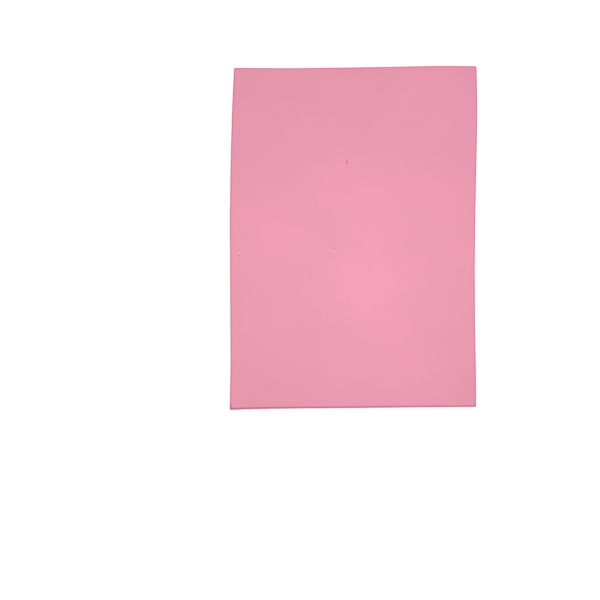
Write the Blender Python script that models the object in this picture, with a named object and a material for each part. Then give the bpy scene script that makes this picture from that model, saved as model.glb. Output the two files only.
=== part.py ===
"""One sheet of craft foam, lying flat: a skin-soft EVA sheet, die cut to A4.

The sheet is a single piece of closed-cell foam. A steel-rule die cuts it from a larger
slab, and the rule squeezes the foam before it parts, so the upper edge and the four
corners come back slightly rounded and the lower edge stays almost sharp.

Metres, +Z up. The origin is the middle of the underside, +X runs across the sheet
and +Y along it.
"""

import math

import bmesh
import bpy

# Driving dimensions
SHEET_WIDTH = 0.210  # along X, the short side of A4
SHEET_LENGTH = 0.297  # along Y, the long side of A4
SHEET_THICKNESS = 0.002
DIE_ROUNDING = 0.0005  # radius of the upper edge, and of the corners seen from above
HEEL_ROUNDING = 0.00015  # radius of the lower edge, where the rule leaves the foam

# A rounding takes up at most this share of the cut wall's height
ROUNDING_LIMIT = 0.45
DIE_SEGMENTS = 5
HEEL_SEGMENTS = 2
SMOOTH_ANGLE = math.radians(35)

# The foam's look
FOAM_PINK = (0.83, 0.31, 0.44, 1.0)
FOAM_ROUGHNESS = 0.82


def clear_scene():
    for obj in list(bpy.data.objects):
        bpy.data.objects.remove(obj)


def rounding(radius):
    """The radius, limited by the thickness of the wall that it is cut from."""
    return min(radius, ROUNDING_LIMIT * SHEET_THICKNESS)


def blank():
    """The square-edged blank, standing on z = 0 and centred on the origin."""
    bm = bmesh.new()
    bmesh.ops.create_cube(bm, size=1.0)
    bmesh.ops.scale(bm, vec=(SHEET_WIDTH, SHEET_LENGTH, SHEET_THICKNESS), verts=bm.verts)
    bmesh.ops.translate(bm, vec=(0.0, 0.0, SHEET_THICKNESS / 2), verts=bm.verts)
    return bm


def is_upright(edge):
    """True for the blank's four corner edges, which have an end at each face."""
    low, high = sorted(vert.co.z for vert in edge.verts)
    return high - low > SHEET_THICKNESS / 2


def lies_in(edge, height):
    """True for an edge that lies in the horizontal plane at this height."""
    return all(math.isclose(vert.co.z, height, abs_tol=1e-6) for vert in edge.verts)


def round_over(bm, edges, radius, segments):
    bmesh.ops.bevel(
        bm,
        geom=edges,
        offset=radius,
        offset_type="OFFSET",
        segments=segments,
        profile=0.5,
        affect="EDGES",
        clamp_overlap=True,
    )


def die_cut_edges(bm):
    """Rolls over the upper edge and the corners, then takes the sharpness off the heel."""
    rolled = [e for e in bm.edges if is_upright(e) or lies_in(e, SHEET_THICKNESS)]
    round_over(bm, rolled, rounding(DIE_ROUNDING), DIE_SEGMENTS)
    heel = [e for e in bm.edges if lies_in(e, 0.0)]
    round_over(bm, heel, rounding(HEEL_ROUNDING), HEEL_SEGMENTS)


def foam_material():
    material = bpy.data.materials.new("pink_foam")
    material.use_nodes = True
    shader = material.node_tree.nodes["Principled BSDF"]
    shader.inputs["Base Color"].default_value = FOAM_PINK
    shader.inputs["Roughness"].default_value = FOAM_ROUGHNESS
    shader.inputs["Metallic"].default_value = 0.0
    material.diffuse_color = FOAM_PINK
    return material


def foam_sheet():
    bm = blank()
    die_cut_edges(bm)
    mesh = bpy.data.meshes.new("foam_sheet")
    bm.to_mesh(mesh)
    bm.free()
    mesh.shade_smooth()
    mesh.set_sharp_from_angle(angle=SMOOTH_ANGLE)
    mesh.materials.append(foam_material())
    sheet = bpy.data.objects.new("foam_sheet", mesh)
    bpy.context.scene.collection.objects.link(sheet)
    return sheet


def main():
    clear_scene()
    foam_sheet()


main()
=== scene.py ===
# %% [markdown]
# # One sheet of craft foam
#
# The object is a single sheet of EVA craft foam, A4 in size and 2 mm thick, lying on a pale table.
# It has no moving parts and nothing fixed to it, so all that tells foam from card or plastic is small:
# the upper edge that the cutting die rolls over, sides that aren't quite straight, corners that don't
# lie quite flat, a skin of sliced bubbles, and open bubbles along the cut.
#
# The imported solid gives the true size. This lesson loads it, grows a detailed sheet in its place with
# Geometry Nodes, gives that sheet two finishes, and lights it as on a photographer's table.

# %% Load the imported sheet
import math

import bmesh
import bpy
from mathutils import Matrix, Vector


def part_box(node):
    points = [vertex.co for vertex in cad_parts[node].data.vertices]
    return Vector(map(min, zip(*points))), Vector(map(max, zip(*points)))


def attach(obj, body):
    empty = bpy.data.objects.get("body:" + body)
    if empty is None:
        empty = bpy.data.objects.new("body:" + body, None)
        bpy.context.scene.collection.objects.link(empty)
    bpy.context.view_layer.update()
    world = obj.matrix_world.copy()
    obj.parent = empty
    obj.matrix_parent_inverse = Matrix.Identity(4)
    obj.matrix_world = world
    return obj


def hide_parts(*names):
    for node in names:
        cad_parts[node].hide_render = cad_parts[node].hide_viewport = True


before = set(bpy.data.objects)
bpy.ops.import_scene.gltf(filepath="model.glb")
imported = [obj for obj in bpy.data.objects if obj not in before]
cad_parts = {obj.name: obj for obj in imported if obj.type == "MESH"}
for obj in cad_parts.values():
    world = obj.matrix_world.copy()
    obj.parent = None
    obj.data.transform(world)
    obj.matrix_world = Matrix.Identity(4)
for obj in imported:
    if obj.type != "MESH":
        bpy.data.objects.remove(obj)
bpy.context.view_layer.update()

# %% [markdown]
# ## Sizes
#
# The width, length and thickness are read from the solid, so the dressed sheet can't drift away from
# it. The rest is what a steel-rule die does to soft foam. The rule squeezes the sheet before it parts
# it, so the upper edge springs back round, the lower edge stays almost sharp, and the cut wall between
# them ends up very slightly hollow.

# %% Read the sheet's sizes
MM = 0.001
sheet_low, sheet_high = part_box("foam_sheet")
SHEET_WIDTH, SHEET_LENGTH, SHEET_THICKNESS = sheet_high - sheet_low
HALF_WIDTH, HALF_LENGTH = SHEET_WIDTH / 2, SHEET_LENGTH / 2
SHOULDER_RADIUS = 0.6 * MM
HEEL_RADIUS = 0.15 * MM
WALL_HOLLOW = 0.07 * MM
print("sheet, mm:", [round(side / MM, 2) for side in (SHEET_WIDTH, SHEET_LENGTH, SHEET_THICKNESS)])

# %% [markdown]
# ## Camera
#
# The picture is taken from above, almost straight down, with the sheet right of the middle and above
# it. A camera here is a place, a point that it looks at, and a small roll. Blender's own tracking is
# no help when a camera looks straight down, because then the picture's up is not the world's up. So
# the three axes of the camera are worked out from +Y, the long side of the sheet. The lens is a guess,
# and the place, the aim and the roll were fitted to the sheet's four corners for that lens.

# %% Stand the camera over the sheet
PHOTO_SIZE = 600  # pixels, each way
LENS, SENSOR = 50.0, 36.0  # millimetres
CAMERA_PLACE = Vector((-0.0297, -0.0778, 0.7217))
CAMERA_AIM = Vector((-0.0462, -0.0555, 0.0))
CAMERA_ROLL = math.radians(0.18)

ahead = (CAMERA_AIM - CAMERA_PLACE).normalized()
level_right = ahead.cross(Vector((0, 1, 0))).normalized()
level_up = level_right.cross(ahead)
level_view = Matrix((level_right, level_up, -ahead)).transposed()

camera_data = bpy.data.cameras.new("overhead_camera")
camera_data.lens, camera_data.sensor_width = LENS, SENSOR
camera = bpy.data.objects.new("overhead_camera", camera_data)
rolled_view = level_view @ Matrix.Rotation(CAMERA_ROLL, 3, "Z")
camera.matrix_world = Matrix.Translation(CAMERA_PLACE) @ rolled_view.to_4x4()
bpy.context.scene.collection.objects.link(camera)
bpy.context.scene.camera = camera
print("the camera looks down at", round(math.degrees(math.asin(-ahead.z)), 1), "degrees")

# %% [markdown]
# With the camera in place, a pixel of the picture is a line of sight, and where that line meets the
# upper face is a place on the sheet. The two functions below go both ways. They turn what can be seen
# in the picture, such as a corner, into millimetres on the foam.

# %% Turn pixels into places on the sheet, and back
PIXELS_PER_SLOPE = LENS / SENSOR * PHOTO_SIZE


def pixel_of(point):
    """Where a point in space lands in the picture, in pixels from its top left corner."""
    seen = camera.matrix_world.inverted() @ Vector(point)
    scale = PIXELS_PER_SLOPE / -seen.z
    return PHOTO_SIZE / 2 + seen.x * scale, PHOTO_SIZE / 2 - seen.y * scale


def place_under(pixel):
    """The place on the upper face that a pixel of the picture shows."""
    across, down = pixel
    slope = Vector(((across - PHOTO_SIZE / 2), (PHOTO_SIZE / 2 - down), -PIXELS_PER_SLOPE))
    sight = camera.matrix_world.to_3x3() @ slope
    return CAMERA_PLACE + sight * ((SHEET_THICKNESS - CAMERA_PLACE.z) / sight.z)


middle = (0, 0, SHEET_THICKNESS)
print("the sheet's middle is at pixel", [round(value, 1) for value in pixel_of(middle)])

# %% [markdown]
# ## Nodes that read like formulas
#
# Geometry Nodes and shader nodes share the same Math node. A rule such as "round the edge over" takes
# dozens of them, which is slow to read when each is made and linked by hand. So a `Wire` stands for
# the value on a socket, and adding or multiplying wires adds the Math nodes and links them. What
# Blender gets is an ordinary tree that can be opened in the node editor.

# %% Arithmetic that adds Math nodes
def plug(tree, socket, value):
    """Links a wire into a socket, or sets the socket to a plain value."""
    if isinstance(value, Wire):
        tree.links.new(value.socket, socket)
    else:
        socket.default_value = value


class Wire:
    """The value on one socket of a tree. Arithmetic on it adds Math nodes to that tree."""

    def __init__(self, tree, socket):
        self.tree = tree
        self.socket = socket

    def math(self, operation, *others):
        """A Math node of this operation, with this wire first."""
        node = self.tree.nodes.new("ShaderNodeMath")
        node.operation = operation
        for socket, value in zip(node.inputs, (self, *others)):
            plug(self.tree, socket, value)
        return Wire(self.tree, node.outputs[0])

    def __add__(self, other):
        return self.math("ADD", other)

    def __sub__(self, other):
        return self.math("SUBTRACT", other)

    def __rsub__(self, other):
        return self.math("MULTIPLY_ADD", -1.0, other)

    def __mul__(self, other):
        return self.math("MULTIPLY", other)

    def __truediv__(self, other):
        return self.math("DIVIDE", other)

    def __rtruediv__(self, other):
        return self.math("POWER", -1.0) * other

    def __pow__(self, other):
        return self.math("POWER", other)

    __radd__ = __add__
    __rmul__ = __mul__


print("a wire knows + - * / and **, and every other Math node by its name")

# %% [markdown]
# Two more helpers add any other node, and split a vector into its three numbers. A third one spreads
# the finished tree out in columns, so that it can be read in the editor from left to right.

# %% Add nodes and spread a tree out
def add_node(tree, kind, inputs=None, **settings):
    """A new node with its settings made and its inputs linked or set."""
    node = tree.nodes.new(kind)
    for name, value in settings.items():
        setattr(node, name, value)
    for name, value in (inputs or {}).items():
        plug(tree, node.inputs[name], value)
    return node


def wire_from(node, output=0):
    """The wire that leaves a node by one of its outputs."""
    return Wire(node.id_data, node.outputs[output])


def split(vector):
    """The three numbers of a vector wire."""
    node = add_node(vector.tree, "ShaderNodeSeparateXYZ", {0: vector})
    return [wire_from(node, axis) for axis in range(3)]


def join(tree, across, along, up):
    """A vector wire from three numbers."""
    return wire_from(add_node(tree, "ShaderNodeCombineXYZ", {0: across, 1: along, 2: up}))


def spread_out(tree, column=190, row=170):
    """Puts each node one column to the right of the last node that feeds it."""
    depth = {node.name: 0 for node in tree.nodes}
    for _ in range(len(tree.nodes)):
        moved = False
        for link in tree.links:
            needed = depth[link.from_node.name] + 1
            if depth[link.to_node.name] < needed:
                depth[link.to_node.name] = needed
                moved = True
        if not moved:
            break
    filled = {}
    for node in tree.nodes:
        place = depth[node.name]
        node.location = (place * column, -filled.get(place, 0) * row)
        filled[place] = filled.get(place, 0) + 1
    return max(depth.values()) + 1


print("helpers ready: add_node, wire_from, split, join, spread_out")

# %% [markdown]
# A tree's inputs are what makes it a tool and not a one-off: each size has a name in the modifier
# panel. A modifier doesn't know its inputs by those names though, but by identifiers such as
# `Socket_2`. So the values are set through a small lookup.

# %% Make trees with named inputs and run them
SOCKET_KINDS = ["NodeSocket" + kind for kind in ("Float", "Int", "Vector", "Geometry")]
FLOAT, WHOLE, VECTOR, GEOMETRY = SOCKET_KINDS


def new_tree(name, kind, inputs, outputs):
    """An empty node group with these sockets, and its inputs as wires by name."""
    tree = bpy.data.node_groups.new(name, kind)
    for socket_name, socket_kind in inputs.items():
        tree.interface.new_socket(socket_name, in_out="INPUT", socket_type=socket_kind)
    for socket_name, socket_kind in outputs.items():
        tree.interface.new_socket(socket_name, in_out="OUTPUT", socket_type=socket_kind)
    entry = tree.nodes.new("NodeGroupInput")
    return tree, {socket.name: Wire(tree, socket) for socket in entry.outputs if socket.name}


def close_tree(tree, **results):
    """Links the results to the tree's outputs and spreads the tree out."""
    leave = tree.nodes.new("NodeGroupOutput")
    for name, value in results.items():
        plug(tree, leave.inputs[name], value)
    columns = spread_out(tree)
    print(tree.name, "has", len(tree.nodes), "nodes in", columns, "columns")


def run_tree(tree, mesh, values):
    """The plain mesh that a Geometry Nodes tree makes of a mesh, with the tree's inputs set."""
    subject = bpy.data.objects.new(tree.name, mesh)
    bpy.context.scene.collection.objects.link(subject)
    modifier = subject.modifiers.new(tree.name, "NODES")
    modifier.node_group = tree
    for item in tree.interface.items_tree:
        if item.in_out == "INPUT" and item.name in values:
            modifier[item.identifier] = values[item.name]
    graph = bpy.context.evaluated_depsgraph_get()
    made = bpy.data.meshes.new_from_object(
        subject.evaluated_get(graph), preserve_all_data_layers=True, depsgraph=graph
    )
    bpy.data.objects.remove(subject)
    if made.materials and made.materials[0] is None:
        made.materials.pop(index=0)  # the primitive's own empty slot
    return made


print("socket kinds:", SOCKET_KINDS)

# %% [markdown]
# ## The blank
#
# The sheet starts as a box of lattice lines, and its shape follows a rule: every point keeps its
# place in the lattice, and only its distance from the nearest edge decides where it moves. That makes
# it work for Geometry Nodes, which does the same sum on every point at once.
#
# First the lines are spaced. An even lattice would either miss a rounding of half a millimetre or put
# hundreds of lines too many on the flat. So the first few lines count as steps of equal angle round
# the edge, and the rest open out towards the middle of the sheet.

# %% Space the lattice lines
ROUNDING_LINES = 4
EIGHTH_TURN = math.pi / 4


def line_inset(side, lines, radius, half, opening):
    """How far in from its own edge a lattice line lies. side runs from -1 to 1 across the box."""
    last = (lines - 1) / 2
    step = (1 - side.math("ABSOLUTE")) * last
    turned = step.math("MINIMUM", float(ROUNDING_LINES)) / ROUNDING_LINES
    in_rounding = radius * (1 - ((1 - turned) * EIGHTH_TURN).math("TANGENT"))
    beyond = (step - ROUNDING_LINES).math("MAXIMUM", 0.0) / (last - ROUNDING_LINES)
    return in_rounding + beyond**opening * (half - radius)


print("a quarter turn of the edge has", 2 * ROUNDING_LINES, "steps")

# %% [markdown]
# Then the edges are rounded, once as seen from above and once in section. Both times a point in the
# square band along the edge is taken as a step away from the inner line of that band, and the step is
# turned so that its length is the radius. The plan takes care of the four corners, and the section
# takes care of the shoulder, the heel and the hollow of the wall.

# %% Round the plan and the section
TINY = 1e-9


def rounded_blank(tree, size, lines):
    """The place of each lattice point on the rounded sheet, and how far it lies from the rim."""
    side = split(wire_from(tree.nodes.new("GeometryNodeInputPosition")))
    half_width, half_length = size["Width"] / 2, size["Length"] / 2
    shoulder, heel, thick = size["Shoulder"], size["Heel"], size["Thickness"]
    upper = side[2].math("GREATER_THAN", 0.0)
    radius = heel + (shoulder - heel) * upper
    in_across = line_inset(side[0], lines["Lines Across"], shoulder, half_width, size["Opening"])
    in_along = line_inset(side[1], lines["Lines Along"], shoulder, half_length, size["Opening"])
    in_depth = line_inset(side[2], lines["Lines Up"], radius, thick / 2, 1.0)

    out_across = (shoulder - in_across).math("MAXIMUM", 0.0)
    out_along = (shoulder - in_along).math("MAXIMUM", 0.0)
    square_reach = out_across.math("MAXIMUM", out_along)
    round_reach = (out_across * out_across + out_along * out_along).math("SQRT")

    to_wall = (radius - (shoulder - square_reach)).math("MAXIMUM", 0.0)
    to_face = (radius - in_depth).math("MAXIMUM", 0.0)
    stretch = radius / (to_wall * to_wall + to_face * to_face).math("SQRT").math("MAXIMUM", TINY)
    depth = in_depth + to_face * (1 - stretch)
    height = depth + (thick - depth * 2) * upper
    up_wall = ((height - heel) / (thick - shoulder - heel)).math("MAXIMUM", 0.0).math("MINIMUM", 1.0)
    hollow = size["Hollow"] * 4 * up_wall * (1 - up_wall)  # the full hollow at half height
    reach = square_reach - to_wall * (1 - stretch) - hollow

    turn = reach / round_reach.math("MAXIMUM", TINY)
    inner_across = (half_width - in_across).math("MINIMUM", half_width - shoulder)
    inner_along = (half_length - in_along).math("MINIMUM", half_length - shoulder)
    x = side[0].math("SIGN") * (inner_across + out_across * turn)
    y = side[1].math("SIGN") * (inner_along + out_along * turn)
    return join(tree, x, y, height), in_across.math("MINIMUM", in_along)


print("the shoulder takes", round(SHOULDER_RADIUS / SHEET_THICKNESS, 2), "of the thickness")

# %% [markdown]
# The tree puts these rules to work on Blender's own cube. It also keeps each point's distance from
# the rim as an attribute, because both the way the sheet bends and its finish need it later. The two
# finishes are only named here, and their own cells fill them in.
#
# The skin runs on over the shoulder, because the die bends it there before it cuts. So what counts as
# cut wall is only what stands nearly upright.

# %% Build the tree of the blank
skin = bpy.data.materials.new("sliced_skin")
cut_wall = bpy.data.materials.new("cut_wall")
RIM_DISTANCE = "rim_distance"
STANDS_UPRIGHT = 0.42  # the most that a wall's normal may lean up or down

blank_tree, blank_in = new_tree(
    "foam_blank",
    "GeometryNodeTree",
    {"Geometry": GEOMETRY}
    | {name: FLOAT for name in ("Width", "Length", "Thickness", "Shoulder", "Heel", "Hollow")}
    | {"Opening": FLOAT}
    | {name: WHOLE for name in ("Lines Across", "Lines Along", "Lines Up")},
    {"Geometry": GEOMETRY},
)
box = add_node(
    blank_tree,
    "GeometryNodeMeshCube",
    {
        "Size": (2.0, 2.0, 2.0),
        "Vertices X": blank_in["Lines Across"],
        "Vertices Y": blank_in["Lines Along"],
        "Vertices Z": blank_in["Lines Up"],
    },
)
place, rim = rounded_blank(blank_tree, blank_in, blank_in)
with_rim = add_node(
    blank_tree,
    "GeometryNodeStoreNamedAttribute",
    {"Geometry": wire_from(box), "Name": RIM_DISTANCE, "Value": rim},
    data_type="FLOAT",
    domain="POINT",
)
shaped = add_node(
    blank_tree, "GeometryNodeSetPosition", {"Geometry": wire_from(with_rim), "Position": place}
)
lean = split(wire_from(blank_tree.nodes.new("GeometryNodeInputNormal")))[2].math("ABSOLUTE")
skinned = add_node(
    blank_tree, "GeometryNodeSetMaterial", {"Geometry": wire_from(shaped), "Material": skin}
)
walled = add_node(
    blank_tree,
    "GeometryNodeSetMaterial",
    {
        "Geometry": wire_from(skinned),
        "Selection": lean.math("LESS_THAN", STANDS_UPRIGHT),
        "Material": cut_wall,
    },
)
real = add_node(blank_tree, "GeometryNodeRealizeInstances", {"Geometry": wire_from(walled)})
close_tree(blank_tree, Geometry=wire_from(real))

# %% Grow the blank
blank = run_tree(
    blank_tree,
    bpy.data.meshes.new("seed"),
    {
        "Width": SHEET_WIDTH,
        "Length": SHEET_LENGTH,
        "Thickness": SHEET_THICKNESS,
        "Shoulder": SHOULDER_RADIUS,
        "Heel": HEEL_RADIUS,
        "Hollow": WALL_HOLLOW,
        "Opening": 1.2,  # the lines open out more, the further this is above 1
        "Lines Across": 139,
        "Lines Along": 191,
        "Lines Up": 13,
    },
)
finish_names = [material.name for material in blank.materials]
print("blank:", len(blank.vertices), "points,", len(blank.polygons), "faces,", finish_names)

# %% [markdown]
# ## How the real sheet strays from a true rectangle
#
# Soft foam creeps under the die and relaxes after it, so no side of the sheet in the picture is quite
# straight, and no corner quite square. The corners are read off the picture as pixels, and where they
# fall on the sheet is compared with the true rectangle. Between two corners a side is described by
# three simple shapes: a bow is one arch, a sway bulges in one half and is hollow in the other, and a
# ripple is hollow in the middle and bulges on both sides of it. Outwards is positive. How much of each
# a side has was fitted to its edge in the picture.

# %% Measure the corners and the sides
CORNER_PIXELS = {
    "Top Left": (234.1, 68.0),
    "Top Right": (476.4, 66.2),
    "Bottom Right": (476.0, 406.8),
    "Bottom Left": (229.8, 409.8),
}
CORNER_SIDES = {
    "Top Left": (-1, 1),
    "Top Right": (1, 1),
    "Bottom Right": (1, -1),
    "Bottom Left": (-1, -1),
}
SHAPES = ("Bow", "Sway", "Ripple")
SIDE_SHAPES = {
    "Left": (1.44 * MM, 1.96 * MM, -0.23 * MM),
    "Right": (-0.33 * MM, 1.53 * MM, 0.59 * MM),
    "Top": (-0.15 * MM, 1.10 * MM, 0.16 * MM),
    "Bottom": (-0.47 * MM, 0.50 * MM, -0.21 * MM),
}
side_values = {
    side + " " + shape: value
    for side, values in SIDE_SHAPES.items()
    for shape, value in zip(SHAPES, values)
}

corner_pulls = {}
for name, (across, along) in CORNER_SIDES.items():
    true_corner = Vector((across * HALF_WIDTH, along * HALF_LENGTH, SHEET_THICKNESS))
    corner_pulls[name] = place_under(CORNER_PIXELS[name]) - true_corner
    print(name, "strays by", [round(value / MM, 1) for value in corner_pulls[name].xy], "mm")

# %% [markdown]
# The outline bends by moving every point of the sheet, and not only those at the edge, so the lattice
# stays even. A point between the corners takes a share of each corner's pull, the bulge of a side
# fades towards the opposite side, and a slow noise adds the small waver of a hand-fed press.

# %% Bend the outline
NOISE_TO_ONE = 2  # slow_noise runs from -0.5 to 0.5, and this makes it -1 to 1
WAVER_PATCH = 34 * MM
ALONG_SEED = 7.0  # added to the seed, so that the two directions waver differently


def corner_shares(u, v):
    """How much each corner counts at a point, where u and v run from -1 to 1 across the sheet."""
    return {
        name: (u * across + 1) * (v * along + 1) / 4 for name, (across, along) in CORNER_SIDES.items()
    }


def slow_noise(tree, place, seed, patch, detail=0.0):
    """A smooth noise about zero, whose hills are about one patch apart."""
    node = add_node(
        tree,
        "ShaderNodeTexNoise",
        {"Vector": place, "W": seed, "Scale": 1.0 / patch, "Detail": detail},
        noise_dimensions="4D",
    )
    return wire_from(node) - 0.5


def bulge(given, side, along):
    """How far a side stands out, where along runs from -1 to 1 between its corners."""
    bow, sway, ripple = (given[side + " " + shape] for shape in SHAPES)
    return (1 - along * along) * (bow + sway * along + ripple * (along * along * 4 - 1))


def outline_shift(tree, given, place, u, v):
    """How far each point moves in the plane of the sheet."""
    shift_x, shift_y = 0.0, 0.0
    for name, share in corner_shares(u, v).items():
        pull = split(given[name])
        shift_x = pull[0] * share + shift_x
        shift_y = pull[1] * share + shift_y
    shift_x = shift_x + (bulge(given, "Right", v) * (1 + u) - bulge(given, "Left", v) * (1 - u)) / 2
    shift_y = shift_y + (bulge(given, "Top", u) * (1 + v) - bulge(given, "Bottom", u) * (1 - v)) / 2
    waver = given["Waver"] * NOISE_TO_ONE
    shift_x = shift_x + waver * slow_noise(tree, place, given["Seed"], WAVER_PATCH)
    shift_y = shift_y + waver * slow_noise(tree, place, given["Seed"] + ALONG_SEED, WAVER_PATCH)
    return shift_x, shift_y


for side, values in SIDE_SHAPES.items():
    print(side, "side, mm:", {shape: round(value / MM, 2) for shape, value in zip(SHAPES, values)})

# %% [markdown]
# ## How it lies
#
# Foam that has been packed flat doesn't lie dead flat. Its middle rests on the table, and the edges
# and corners stand off it by a few tenths of a millimetre, which shows as a soft line of shadow that
# comes and goes along the side. Foam is also sliced a little unevenly, so the upper face swells and
# sinks by hundredths, and it rolls down gently over the last millimetres before the cut.

# %% Lay it on the table
CORNER_CURL = {
    "Top Left": 0.55 * MM,
    "Top Right": 0.30 * MM,
    "Bottom Right": 0.50 * MM,
    "Bottom Left": 0.20 * MM,
}
CURL_POWER = 7.0  # a higher power keeps the curl nearer to its corner
EDGE_POWER = 8.0  # and likewise for the lift along the sides
LIFT_PATCH = 62 * MM
LIFT_OFTEN = 0.08  # above 0, more of the edge stands off the table than rests on it
LIFT_TO_ONE = 4  # makes the usual height of a swell about 1
ROLL_REACH = 1.3 * MM  # the upper face's roll fades over about this distance from the rim
SLICE_PATCH = 14 * MM
LIFT_SEED, SLICE_SEED = 3.0, 11.0  # added to the seed, so that each noise is another one


def lift_of(tree, given, place, u, v):
    """How far the whole sheet stands off the table at each point, never below it."""
    near_edge = u.math("ABSOLUTE").math("MAXIMUM", v.math("ABSOLUTE")) ** EDGE_POWER
    waves = slow_noise(tree, place, given["Seed"] + LIFT_SEED, LIFT_PATCH)
    swell = (waves + LIFT_OFTEN).math("MAXIMUM", 0.0)
    lift = given["Edge Lift"] * LIFT_TO_ONE * swell * near_edge
    for name, share in corner_shares(u, v).items():
        lift = lift + given["Curl"] * (CORNER_CURL[name] / MM) * share**CURL_POWER
    return lift


def read_attribute(tree, name):
    """A number that was stored on the points under this name."""
    return wire_from(
        add_node(tree, "GeometryNodeInputNamedAttribute", {"Name": name}, data_type="FLOAT")
    )


def face_shift(tree, given, place, height):
    """How the upper face swells, sinks and rolls down to the rim. It leaves the underside alone."""
    rim = read_attribute(tree, RIM_DISTANCE)
    roll = (rim / ROLL_REACH * -1.0).math("EXPONENT") * given["Rim Roll"] * -1.0
    waves = slow_noise(tree, place, given["Seed"] + SLICE_SEED, SLICE_PATCH, 1.0)
    swell = waves * given["Unevenness"] * NOISE_TO_ONE
    return (roll + swell) * (height / SHEET_THICKNESS)


print("corner curls, mm:", {name: round(curl / MM, 2) for name, curl in CORNER_CURL.items()})

# %% Build the tree that settles the sheet
settle_tree, settle_in = new_tree(
    "foam_settled",
    "GeometryNodeTree",
    {"Geometry": GEOMETRY}
    | {name: VECTOR for name in CORNER_SIDES}
    | {name: FLOAT for name in side_values}
    | {name: FLOAT for name in ("Waver", "Edge Lift", "Curl", "Rim Roll", "Unevenness", "Seed")},
    {"Geometry": GEOMETRY},
)
point = wire_from(settle_tree.nodes.new("GeometryNodeInputPosition"))
point_x, point_y, point_z = split(point)
u, v = point_x / HALF_WIDTH, point_y / HALF_LENGTH
move_x, move_y = outline_shift(settle_tree, settle_in, point, u, v)
stand_off = lift_of(settle_tree, settle_in, point, u, v)
move_z = stand_off + face_shift(settle_tree, settle_in, point, point_z)
settled = add_node(
    settle_tree,
    "GeometryNodeSetPosition",
    {"Geometry": settle_in["Geometry"], "Offset": join(settle_tree, move_x, move_y, move_z)},
)
kept = add_node(settle_tree, "GeometryNodeRealizeInstances", {"Geometry": wire_from(settled)})
close_tree(settle_tree, Geometry=wire_from(kept))

# %% Settle the sheet and take its plain mesh
settled_mesh = run_tree(
    settle_tree,
    blank,
    corner_pulls
    | side_values
    | {
        "Waver": 0.22 * MM,
        "Edge Lift": 0.35 * MM,
        "Curl": 1.0 * MM,
        "Rim Roll": 0.06 * MM,
        "Unevenness": 0.035 * MM,
        "Seed": 4.0,
    },
)
heights = [vertex.co.z / MM for vertex in settled_mesh.vertices]
print("the settled sheet reaches from", round(min(heights), 3), "to", round(max(heights), 3), "mm")

# %% [markdown]
# ## Blemishes
#
# The picture shows three specks on the face, each about two millimetres wide. A bubble burst there
# under the slicing knife: it left a pit, and beside it the flap of skin that the knife pushed up. The
# upper one has torn a little further. They are real shapes here, and the skin's finish also paints
# each pit darker, as painted shade, and each flap lighter, as a painted highlight. They are placed
# last, because the picture shows where they are on the sheet as it lies.
#
# The lattice is too coarse for them. Around each speck its edges are split again and again, in
# circles that get smaller, so that the fine faces stay where they are needed.

# %% Find the specks and refine the lattice around them
SPECKS = {
    "upper_pit": {"pixel": (346.6, 162.7), "radius": 0.90 * MM, "height": -0.60 * MM},
    "upper_tear": {"pixel": (346.6, 160.7), "radius": 0.55 * MM, "height": -0.25 * MM},
    "upper_flap": {"pixel": (344.5, 161.5), "radius": 0.75 * MM, "height": 0.16 * MM},
    "middle_pit": {"pixel": (334.0, 248.6), "radius": 0.70 * MM, "height": -0.25 * MM},
    "middle_flap": {"pixel": (334.0, 251.1), "radius": 0.95 * MM, "height": 0.26 * MM},
    "left_pit": {"pixel": (239.0, 255.5), "radius": 0.79 * MM, "height": -0.50 * MM},
    "left_flap": {"pixel": (239.3, 253.6), "radius": 0.95 * MM, "height": 0.28 * MM},
}
SPLIT_ROUNDS = 5
FIRST_REACH = 3.2 * MM
REACH_LEFT = 0.74  # each round reaches this share of the last
FACE_HEIGHT = 0.95 * SHEET_THICKNESS  # whatever is higher belongs to the upper face


def refine_around(sheet, centres):
    """Splits the upper face's edges around these places, in smaller and smaller circles."""
    reach = FIRST_REACH
    for _ in range(SPLIT_ROUNDS):
        near = []
        for edge in sheet.edges:
            start, end = (vertex.co for vertex in edge.verts)
            middle = (start + end) / 2
            if min(start.z, end.z) < FACE_HEIGHT:
                continue
            if any((middle - centre).xy.length < reach for centre in centres):
                near.append(edge)
        bmesh.ops.subdivide_edges(sheet, edges=near, cuts=1, use_grid_fill=True)
        reach *= REACH_LEFT


for name, speck in SPECKS.items():
    speck["place"] = place_under(speck["pixel"])
    print(name, "lies at", [round(value / MM, 1) for value in speck["place"].xy], "mm")
work = bmesh.new()
work.from_mesh(settled_mesh)
coarse_faces = len(work.faces)
refine_around(work, [speck["place"] for speck in SPECKS.values()])
print("the specks added", len(work.faces) - coarse_faces, "faces")
work.to_mesh(settled_mesh)
work.free()

# %% [markdown]
# One small group makes a speck, and the tree below uses it once for each pit and flap. A pit is a
# bowl with a faint lip, and a flap is the same bowl turned over. Skin tears along its bubbles, so the
# rim isn't a true circle: a noise of half a millimetre pulls it in and out. The group also writes down
# how deep in a pit, or how high on a flap, each point is, and the finish turns that into painted shade
# in the pits and a painted highlight on the flaps.

# %% Build the group that presses one speck
# The attribute below drives the painted shade in the pits and the painted highlight on the flaps.
SPECK_SHADING = "speck_shading"
LIP_SHARE = 0.10  # the lip's height against the bowl's depth
LIP_PLACE, LIP_WIDTH = 1.1, 0.28  # in radii
BOWL_POWER = 0.75  # a lower power gives a bowl with a flatter floor and steeper sides
TEAR_SIZE = 0.55 * MM
TEAR_SHARE = 1.1  # how strongly the tearing changes the radius
TEAR_SEED = 2.0

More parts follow.
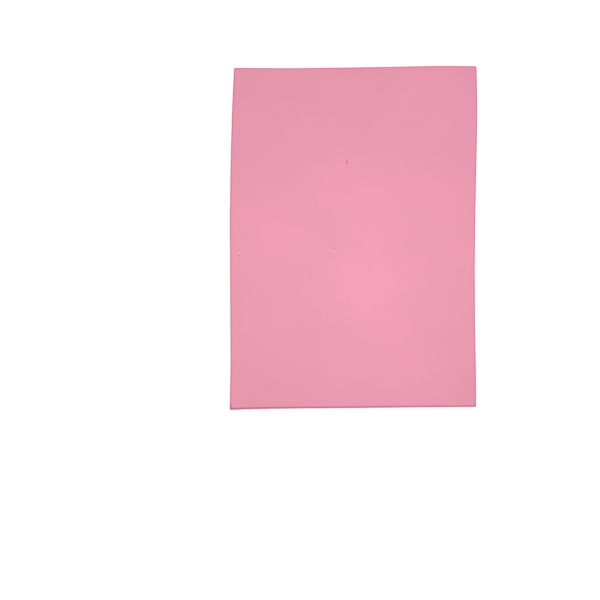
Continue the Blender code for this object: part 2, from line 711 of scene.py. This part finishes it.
press_speck, press_in = new_tree(
    "press_speck",
    "GeometryNodeTree",
    {"Geometry": GEOMETRY, "Place": VECTOR, "Radius": FLOAT, "Height": FLOAT},
    {"Geometry": GEOMETRY},
)
spot = wire_from(press_speck.nodes.new("GeometryNodeInputPosition"))
here, centre = split(spot), split(press_in["Place"])
step_x, step_y = here[0] - centre[0], here[1] - centre[1]
tearing = slow_noise(press_speck, spot, TEAR_SEED, TEAR_SIZE)
torn_radius = press_in["Radius"] * (1 + tearing * TEAR_SHARE)
reached = (step_x * step_x + step_y * step_y).math("SQRT") / torn_radius
on_face = here[2].math("GREATER_THAN", SHEET_THICKNESS / 2)
bowl = (1 - reached * reached).math("MAXIMUM", 0.0) ** BOWL_POWER * on_face
lip_step = (reached - LIP_PLACE) / LIP_WIDTH
lip = (lip_step * lip_step * -1.0).math("EXPONENT") * LIP_SHARE * on_face
rise = press_in["Height"] * bowl + press_in["Height"].math("ABSOLUTE") * lip
tone = read_attribute(press_speck, SPECK_SHADING) + press_in["Height"].math("SIGN") * bowl
toned = add_node(
    press_speck,
    "GeometryNodeStoreNamedAttribute",
    {"Geometry": press_in["Geometry"], "Name": SPECK_SHADING, "Value": tone},
    data_type="FLOAT",
    domain="POINT",
)
pressed = add_node(
    press_speck,
    "GeometryNodeSetPosition",
    {"Geometry": wire_from(toned), "Offset": join(press_speck, 0.0, 0.0, rise)},
)
close_tree(press_speck, Geometry=wire_from(pressed))

# %% Press the specks and take the sheet's plain mesh
specked_tree, specked_in = new_tree(
    "foam_specked", "GeometryNodeTree", {"Geometry": GEOMETRY}, {"Geometry": GEOMETRY}
)
marked = specked_in["Geometry"]
for name, speck in SPECKS.items():
    press = add_node(specked_tree, "GeometryNodeGroup", node_tree=press_speck, label=name)
    plug(specked_tree, press.inputs["Geometry"], marked)
    for value_name in ("Place", "Radius", "Height"):
        plug(specked_tree, press.inputs[value_name], speck[value_name.lower()])
    marked = wire_from(press)
whole = add_node(specked_tree, "GeometryNodeRealizeInstances", {"Geometry": marked})
close_tree(specked_tree, Geometry=wire_from(whole))
foam_mesh = run_tree(specked_tree, settled_mesh, {})
foam_mesh.name = "craft_foam"
print("the sheet's mesh has", len(foam_mesh.vertices), "points")

# %% [markdown]
# ## Foam is a solid texture
#
# EVA foam is bubbles all the way through, and each face is a slice through them. That is why the
# finishes use three-dimensional patterns on Object coordinates, in true millimetres: the skin and the
# cut wall then show the same bubbles, and no pattern stretches over the edge. Three effects are used
# by both finishes, so each is a node group with its own inputs.
#
# The first is the bubbles themselves. Voronoi cells are what bubbles pack into. The group gives the
# cup that the knife leaves of each one, and a tone that differs from bubble to bubble.

# %% Build the bubble group
CUP_FALL = 1.5  # how fast a cup gets shallower, from its middle to the bubble's wall


def voronoi(tree, place, size):
    """A three-dimensional Voronoi pattern with cells of this size."""
    return add_node(
        tree, "ShaderNodeTexVoronoi", {"Vector": place, "Scale": 1 / size}, voronoi_dimensions="3D"
    )


bubbles, bubbles_in = new_tree(
    "foam_bubbles", "ShaderNodeTree", {"Place": VECTOR, "Size": FLOAT}, {"Cup": FLOAT, "Tone": FLOAT}
)
cells = voronoi(bubbles, bubbles_in["Place"], bubbles_in["Size"])
cup = (1 - wire_from(cells, "Distance") * CUP_FALL).math("MAXIMUM", 0.0)
close_tree(bubbles, Cup=cup, Tone=split(wire_from(cells, "Color"))[0] - 0.5)

# %% [markdown]
# The second effect is the odd large bubble that the knife laid open, about a third of a millimetre
# across. They are spread through the foam in depth too, so only those that a face happens to cut are
# seen. A cell's random tone decides which cells hold one at all.

# %% Build the pore group
PORE_STEEPNESS = 2.5  # a pore's sloping side takes up 1 / 2.5 of its radius

pores, pores_in = new_tree(
    "burst_pores",
    "ShaderNodeTree",
    {"Place": VECTOR, "Spacing": FLOAT, "Radius": FLOAT, "Share": FLOAT},
    {"Pore": FLOAT},
)
homes = voronoi(pores, pores_in["Place"], pores_in["Spacing"])
from_centre = wire_from(homes, "Distance") * pores_in["Spacing"] / pores_in["Radius"]
holds_one = split(wire_from(homes, "Color"))[1].math("LESS_THAN", pores_in["Share"])
open_bowl = ((1 - from_centre) * PORE_STEEPNESS).math("MAXIMUM", 0.0).math("MINIMUM", 1.0)
close_tree(pores, Pore=open_bowl * holds_one)

# %% [markdown]
# The third is the mottle: the foam is a little denser in one place than in another, so the pink is a
# touch deeper there. It is a smooth noise about zero, and a finish uses it at more than one scale.

# %% Build the mottle group
mottle, mottle_in = new_tree(
    "soft_mottle", "ShaderNodeTree", {"Place": VECTOR, "Patch": FLOAT, "Seed": FLOAT}, {"Tone": FLOAT}
)
clouds = slow_noise(mottle, mottle_in["Place"], mottle_in["Seed"], mottle_in["Patch"], 1.0)
close_tree(mottle, Tone=clouds)


def effect(tree, group, **values):
    """Places a shared effect in a finish with its own values, and gives its outputs as wires."""
    node = tree.nodes.new("ShaderNodeGroup")
    node.node_tree = group
    for name, value in values.items():
        plug(tree, node.inputs[name], value)
    return [wire_from(node, place) for place in range(len(node.outputs))]


def stretched(place, across, along, up):
    """A place with its three directions scaled, so that a pattern on it is drawn out or squeezed."""
    node = add_node(
        place.tree, "ShaderNodeVectorMath", {0: place, 1: (across, along, up)}, operation="MULTIPLY"
    )
    return wire_from(node)


print("effects shared by the finishes:", [group.name for group in (bubbles, pores, mottle)])

# %% [markdown]
# ## The colours
#
# The pink is one colour, matched to the sheet in the picture. It gets lighter and darker by simply
# being scaled, as the amount of light on a matte face would do. In open bubbles, pits and pores, light
# bounces from pink to pink before it comes out, which makes the colour deeper and not just darker, so
# those places are mixed towards a deeper pink as painted shade. The band along the rim is mixed the
# same way, partly for the die's crushing and partly as painted shade over the rounded edge.

# %% Mix the foam's pinks
FOAM_PINK = (0.773, 0.281, 0.392)
# DEEP_PINK is the colour of the painted shade, and along the rim partly of the die's crushing too.
DEEP_PINK = (0.46, 0.105, 0.190, 1.0)  # a Mix node's fixed colour has an alpha too
MIX_SHARE, MIX_FIRST, MIX_SECOND, MIX_RESULT = 0, 6, 7, 2  # a Mix node's sockets for colours


def shaded(tree, colour, lightness):
    """A fixed colour made lighter or darker from place to place."""
    node = add_node(tree, "ShaderNodeVectorMath", {0: colour, "Scale": lightness}, operation="SCALE")
    return wire_from(node)


def mixed(tree, share, first, second):
    """A colour that turns from the first into the second as share runs from 0 to 1."""
    node = add_node(tree, "ShaderNodeMix", data_type="RGBA", clamp_factor=True)
    for socket, value in ((MIX_SHARE, share), (MIX_FIRST, first), (MIX_SECOND, second)):
        plug(tree, node.inputs[socket], value)
    return wire_from(node, MIX_RESULT)


def show(surface):
    """Links a surface shader to its material's output."""
    tree = surface.id_data
    leave = tree.nodes.new("ShaderNodeOutputMaterial")
    tree.links.new(surface.outputs["BSDF"], leave.inputs["Surface"])


def finish(material, colour, roughness, height, gloss):
    """Ends a material: colour, roughness and true height in metres go into one Principled BSDF."""
    tree = colour.tree
    surface = tree.nodes.new("ShaderNodeBsdfPrincipled")
    plug(tree, surface.inputs["Base Color"], colour)
    plug(tree, surface.inputs["Roughness"], roughness)
    relief = add_node(tree, "ShaderNodeBump", {"Strength": 1.0, "Distance": 1.0, "Height": height})
    plug(tree, surface.inputs["Normal"], wire_from(relief))
    for name, value in gloss.items():
        surface.inputs[name].default_value = value
    show(surface)
    print(material.name, "has", len(tree.nodes), "nodes in", spread_out(tree), "columns")


def open_material(material):
    """The material's emptied tree, and Object coordinates as a wire."""
    material.use_nodes = True
    tree = material.node_tree
    tree.nodes.clear()
    return tree, wire_from(tree.nodes.new("ShaderNodeTexCoord"), "Object")


def ramp(wire, start, end):
    """0 up to the start, 1 from the end on, and straight between them."""
    return ((wire - start) / (end - start)).math("MAXIMUM", 0.0).math("MINIMUM", 1.0)


print("foam pink, linear:", FOAM_PINK, "deep pink:", DEEP_PINK)

# %% [markdown]
# ## The sliced skin
#
# A band knife slices the sheet off a thick block. It leaves a skin of tiny cut cups, each a fifth of
# a millimetre, which is what makes craft foam so matte. On top of that lie a shallow orange peel, a
# few open pores, and faint straight lines where the knife shivered. The pores and the pits of the
# specks are painted darker, as painted shade in their hollows, and the flaps lighter, as a painted
# highlight. The skin isn't chalk, though: it is dull enough to show no lamp, but its reflection of the
# lamp still spreads into a wide glow, where the pink is paler and not just lighter. In the last
# millimetre before the cut the die crushes the cups, and the pink is deeper there, partly for the
# crushing and partly as painted shade over the rounded edge. Along the lower side that darker band is
# painted wider and deeper, as painted shade.
#
# The widest mottle was picked to fit. Some four thousand pairs of seed and patch size were tried
# against the picture, and the pair that came nearest was kept. A noise chosen that way stands for
# whatever is uneven in the picture, in the foam or in the light, and another sheet would need another.

# %% Finish the sliced skin
WIDE_PATCH, WIDE_SEED = 65 * MM, 285.0  # picked to fit, as told above
CRUSH_AND_SHADE_FULL, CRUSH_AND_SHADE_END = 0.6 * MM, 1.4 * MM  # how far in from the rim the skin turns deeper: partly the die's crushing, partly painted shade
# Along the lower side the darker rim band is painted wider and deeper, as painted shade.
LOWER_SHADE_FROM = HALF_LENGTH - 6 * MM
LOWER_SHADE_WIDENS = 0.6  # how much wider the darker rim band is painted along the lower side, as painted shade
KNIFE_SQUEEZE = 0.02  # draws the knife's lines out to fifty times their width

# How much lighter or darker each effect makes the pink, as a share of it; the flap's share is a painted
# highlight
WIDE_TONE, NEAR_TONE, PEEL_TONE, CUP_TONE, FLAP_HIGHLIGHT = 0.12, 0.025, 0.02, 0.05, 0.30
# How far each one turns it towards the deep pink, as painted shade; along the rim it is partly the
# die's crushing too
CRUSH_AND_RIM_SHADE, LOWER_RIM_SHADE, PORE_SHADE, PIT_SHADE = 0.55, 0.25, 0.4, 0.62
# The relief of each, in millimetres
PEEL_RELIEF, KNIFE_RELIEF, CUP_RELIEF, PORE_RELIEF = 0.010, 0.004, 0.016, 0.10
# How rough the skin is, and how far two of them change that
SKIN_ROUGHNESS, NEAR_ROUGHNESS, CUP_ROUGHNESS = 0.57, 0.08, 0.10

skin_tree, skin_place = open_material(skin)
wide = effect(skin_tree, mottle, Place=skin_place, Patch=WIDE_PATCH, Seed=WIDE_SEED)[0]
near = effect(skin_tree, mottle, Place=skin_place, Patch=5 * MM, Seed=2.0)[0]
peel = effect(skin_tree, mottle, Place=skin_place, Patch=1.5 * MM, Seed=3.0)[0]
across_knife = stretched(skin_place, KNIFE_SQUEEZE, 1.0, KNIFE_SQUEEZE)
knife = effect(skin_tree, mottle, Place=across_knife, Patch=0.9 * MM, Seed=4.0)[0]
cup, cup_tone = effect(skin_tree, bubbles, Place=skin_place, Size=0.21 * MM)
# Where a pore is open the skin is painted darker, as painted shade in its hollow.
pore = effect(
    skin_tree, pores, Place=skin_place, Spacing=1.6 * MM, Radius=0.17 * MM, Share=0.35
)[0]

rim_wire, speck_wire = (
    wire_from(add_node(skin_tree, "ShaderNodeAttribute", attribute_name=name), "Fac")
    for name in (RIM_DISTANCE, SPECK_SHADING)
)
# Painted shade: runs from 0 to 1 over the last 6 mm before the lower side.
lower_side_shade = ramp(split(skin_place)[1] * -1.0, LOWER_SHADE_FROM, HALF_LENGTH)
# The darker band along the rim: partly the die's crushing, partly painted shade over the rounded edge.
crush_and_shade = 1 - ramp(rim_wire / (1 + lower_side_shade * LOWER_SHADE_WIDENS), CRUSH_AND_SHADE_FULL, CRUSH_AND_SHADE_END)
# Painted shade in the pits, and a painted highlight on the flaps.
pit = (speck_wire * -1.0).math("MAXIMUM", 0.0)
flap = speck_wire.math("MAXIMUM", 0.0)
clouding = 1 + wide * WIDE_TONE + near * NEAR_TONE + peel * PEEL_TONE
lightness = clouding + cup_tone * CUP_TONE + flap * FLAP_HIGHLIGHT
skin_colour = mixed(
    skin_tree,
    crush_and_shade * (CRUSH_AND_RIM_SHADE + lower_side_shade * LOWER_RIM_SHADE) + pore * PORE_SHADE + pit * PIT_SHADE,
    shaded(skin_tree, FOAM_PINK, lightness),
    DEEP_PINK,
)
skin_roughness = SKIN_ROUGHNESS + near * NEAR_ROUGHNESS + cup_tone * CUP_ROUGHNESS
raised = peel * PEEL_RELIEF + knife * KNIFE_RELIEF
skin_height = (raised - cup * CUP_RELIEF - pore * PORE_RELIEF) * MM
finish(
    skin,
    skin_colour,
    skin_roughness,
    skin_height,
    {"Specular IOR Level": 0.36, "Sheen Weight": 0.10, "Sheen Roughness": 0.45},
)

# %% [markdown]
# ## The cut wall
#
# The wall shows the foam's inside: open bubbles with thin pale walls between them, and upright lines
# that the steel rule dragged through them. The hollows of the bubbles and the pores are painted
# darker, as painted shade. There is no skin to catch the light, so it is rougher and its pink a little
# deeper.

# %% Finish the cut wall
WALL_LIGHT = 0.93  # the wall's pink against the skin's
DRAG_SQUEEZE = 0.06  # draws the drag lines out, up and down the wall
WALL_WIDE_TONE, DRAG_TONE, WALL_CUP_TONE = 0.10, 0.16, 0.14
# Painted shade: how far the hollows of the wall's bubbles and its pores turn towards the deep pink.
WALL_CUP_SHADE, WALL_PORE_SHADE = 0.30, 0.5
DRAG_RELIEF, WALL_CUP_RELIEF, WALL_PORE_RELIEF = 0.03, 0.05, 0.12  # millimetres
WALL_ROUGHNESS, WALL_CUP_ROUGHNESS = 0.90, 0.08

wall_tree, wall_place = open_material(cut_wall)
wall_wide = effect(wall_tree, mottle, Place=wall_place, Patch=9 * MM, Seed=5.0)[0]
down_wall = stretched(wall_place, 1.0, 1.0, DRAG_SQUEEZE)
drag = effect(wall_tree, mottle, Place=down_wall, Patch=0.35 * MM, Seed=6.0)[0]
wall_cup, wall_tone = effect(wall_tree, bubbles, Place=wall_place, Size=0.26 * MM)
wall_pore = effect(
    wall_tree, pores, Place=wall_place, Spacing=0.9 * MM, Radius=0.19 * MM, Share=0.6
)[0]

wall_light = WALL_LIGHT + wall_wide * WALL_WIDE_TONE + drag * DRAG_TONE + wall_tone * WALL_CUP_TONE
wall_colour = mixed(
    wall_tree,
    wall_cup * WALL_CUP_SHADE + wall_pore * WALL_PORE_SHADE,
    shaded(wall_tree, FOAM_PINK, wall_light),
    DEEP_PINK,
)
wall_height = (drag * DRAG_RELIEF - wall_cup * WALL_CUP_RELIEF - wall_pore * WALL_PORE_RELIEF) * MM
finish(
    cut_wall,
    wall_colour,
    WALL_ROUGHNESS + wall_tone * WALL_CUP_ROUGHNESS,
    wall_height,
    {"Specular IOR Level": 0.25, "Sheen Weight": 0.15, "Sheen Roughness": 0.6},
)

# %% [markdown]
# ## One plain piece
#
# The settled mesh becomes the piece itself. Its object stays at the origin, and its place is in its
# mesh, as it is for the imported solid that it stands for. Smooth shading is broken only where two
# faces meet at more than 40 degrees, which happens nowhere but in the specks.

# %% Make the piece and attach it to the root body
SHARP_ANGLE = math.radians(40)
foam_mesh.shade_smooth()
foam_mesh.set_sharp_from_angle(angle=SHARP_ANGLE)
foam = bpy.data.objects.new("craft_foam_sheet", foam_mesh)
bpy.context.scene.collection.objects.link(foam)
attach(foam, "root")
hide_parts("foam_sheet")
foam_mesh.calc_loop_triangles()
print(foam.name, "has", len(foam_mesh.loop_triangles), "triangles")

# %% [markdown]
# ## The light
#
# One soft lamp hangs over the sheet, a little right of its middle. It hangs low, so the light falls
# off from there to the corners, and its dull reflection lies a little lower in the picture, between
# the lamp and the camera. Both together make the glow that the foam shows. The rest is the even light
# of a white room. The colours are shown as they are, with no film look over them, because the picture
# was matched that way: the lamp's place, height and power, the pink and the skin's gloss were all
# adjusted until the render came near it, so none of them is a measurement.

# %% Hang the lamp and light the room
LAMP_SIDE, LAMP_HEIGHT = 0.26, 0.61  # metres
LAMP_POWER = 3.06  # watts
LAMP_PIXEL = (364, 245)
LAMP_OVER = place_under(LAMP_PIXEL)
ROOM_STRENGTH = 0.08

lamp_data = bpy.data.lights.new("soft_lamp", "AREA")
lamp_data.shape = "SQUARE"
lamp_data.size = LAMP_SIDE
lamp_data.energy = LAMP_POWER
lamp = bpy.data.objects.new("soft_lamp", lamp_data)
lamp.location = (LAMP_OVER.x, LAMP_OVER.y, LAMP_HEIGHT)
lamp.visible_camera = False
bpy.context.scene.collection.objects.link(lamp)

room = bpy.data.worlds.new("white_room")
room.use_nodes = True
backdrop = room.node_tree.nodes["Background"]
backdrop.inputs["Color"].default_value = (1.0, 1.0, 1.0, 1.0)
backdrop.inputs["Strength"].default_value = ROOM_STRENGTH
bpy.context.scene.world = room
bpy.context.scene.view_settings.view_transform = "Standard"
print("the lamp hangs over", [round(value / MM) for value in LAMP_OVER.xy], "mm")

# %% [markdown]
# ## The table
#
# The table is a pale disc whose rim curves up all round into a low bowl, so that no horizon shows
# from any side.

# %% Turn the bowl of the table
BOWL_FLAT, BOWL_RIM, BOWL_RISE = 0.9, 1.9, 1.0  # metres
BOWL_SIDES, BOWL_RINGS = 96, 28
TABLE_GAP = 0.02 * MM  # keeps the table's face clear of the sheet's


def bowl_height(radius):
    """Level to the end of the flat, then a smooth rise to the rim."""
    share = max(0.0, (radius - BOWL_FLAT) / (BOWL_RIM - BOWL_FLAT))
    return BOWL_RISE * (1 - math.cos(share * math.pi / 2)) - TABLE_GAP


table_work = bmesh.new()
rings = []
for ring in range(1, BOWL_RINGS + 1):
    radius = BOWL_RIM * ring / BOWL_RINGS
    turns = [2 * math.pi * side / BOWL_SIDES for side in range(BOWL_SIDES)]
    level = bowl_height(radius)
    circle = [(radius * math.cos(turn), radius * math.sin(turn), level) for turn in turns]
    rings.append([table_work.verts.new(point) for point in circle])
table_work.faces.new(rings[0])
for inner, outer in zip(rings, rings[1:]):
    for side in range(BOWL_SIDES):
        following = (side + 1) % BOWL_SIDES
        table_work.faces.new((inner[side], outer[side], outer[following], inner[following]))
table_mesh = bpy.data.meshes.new("pale_table")
table_work.to_mesh(table_mesh)
table_work.free()
table_mesh.shade_smooth()
table = bpy.data.objects.new("pale_table", table_mesh)
bpy.context.scene.collection.objects.link(table)
print("the table is", 2 * BOWL_RIM, "m across and has", len(table_mesh.polygons), "faces")

# %% [markdown]
# In the picture the ground is an even white, but a lamp that hangs so low would light the table in a
# pool. So the table glows by as much as the lamp's light falls short, like the lit cloth of a light
# tent. A small lamp's light on a level face falls with the fourth power of the cosine, and that is
# all that the glow needs to know. Contact shadows stay, because the glow makes up for distance only.

# %% Finish the table
TABLE_PALE = 0.82
LAMP_ON_TABLE = 0.71  # the table's brightness from the lamp alone, right under it
GLOW_FAR = 0.82  # the glow where the lamp no longer reaches
GRAIN_SIZE = 0.4 * MM
GRAIN_TONE = 0.01

table_paint = bpy.data.materials.new("table_white")
table_tree, table_place = open_material(table_paint)
table_mesh.materials.append(table_paint)
from_lamp = wire_from(
    add_node(
        table_tree,
        "ShaderNodeVectorMath",
        {0: table_place, 1: (LAMP_OVER.x, LAMP_OVER.y, 0.0)},
        operation="DISTANCE",
    ),
    "Value",
)
slope = from_lamp / LAMP_HEIGHT
cosine_fourth = (1 + slope * slope) ** -2.0
grain = slow_noise(table_tree, table_place, 0.0, GRAIN_SIZE)
table_white = (TABLE_PALE, TABLE_PALE, TABLE_PALE)
glow = shaded(table_tree, (1.0, 1.0, 1.0), GLOW_FAR - LAMP_ON_TABLE * cosine_fourth)
surface = add_node(
    table_tree,
    "ShaderNodeBsdfPrincipled",
    {
        "Base Color": shaded(table_tree, table_white, 1 + grain * GRAIN_TONE),
        "Roughness": 0.9,
        "Emission Color": glow,
        "Emission Strength": 1.0,
    },
)
show(surface)
glow_near = round(GLOW_FAR - LAMP_ON_TABLE, 2)
print("the table glows from", glow_near, "under the lamp to", GLOW_FAR, "far off")
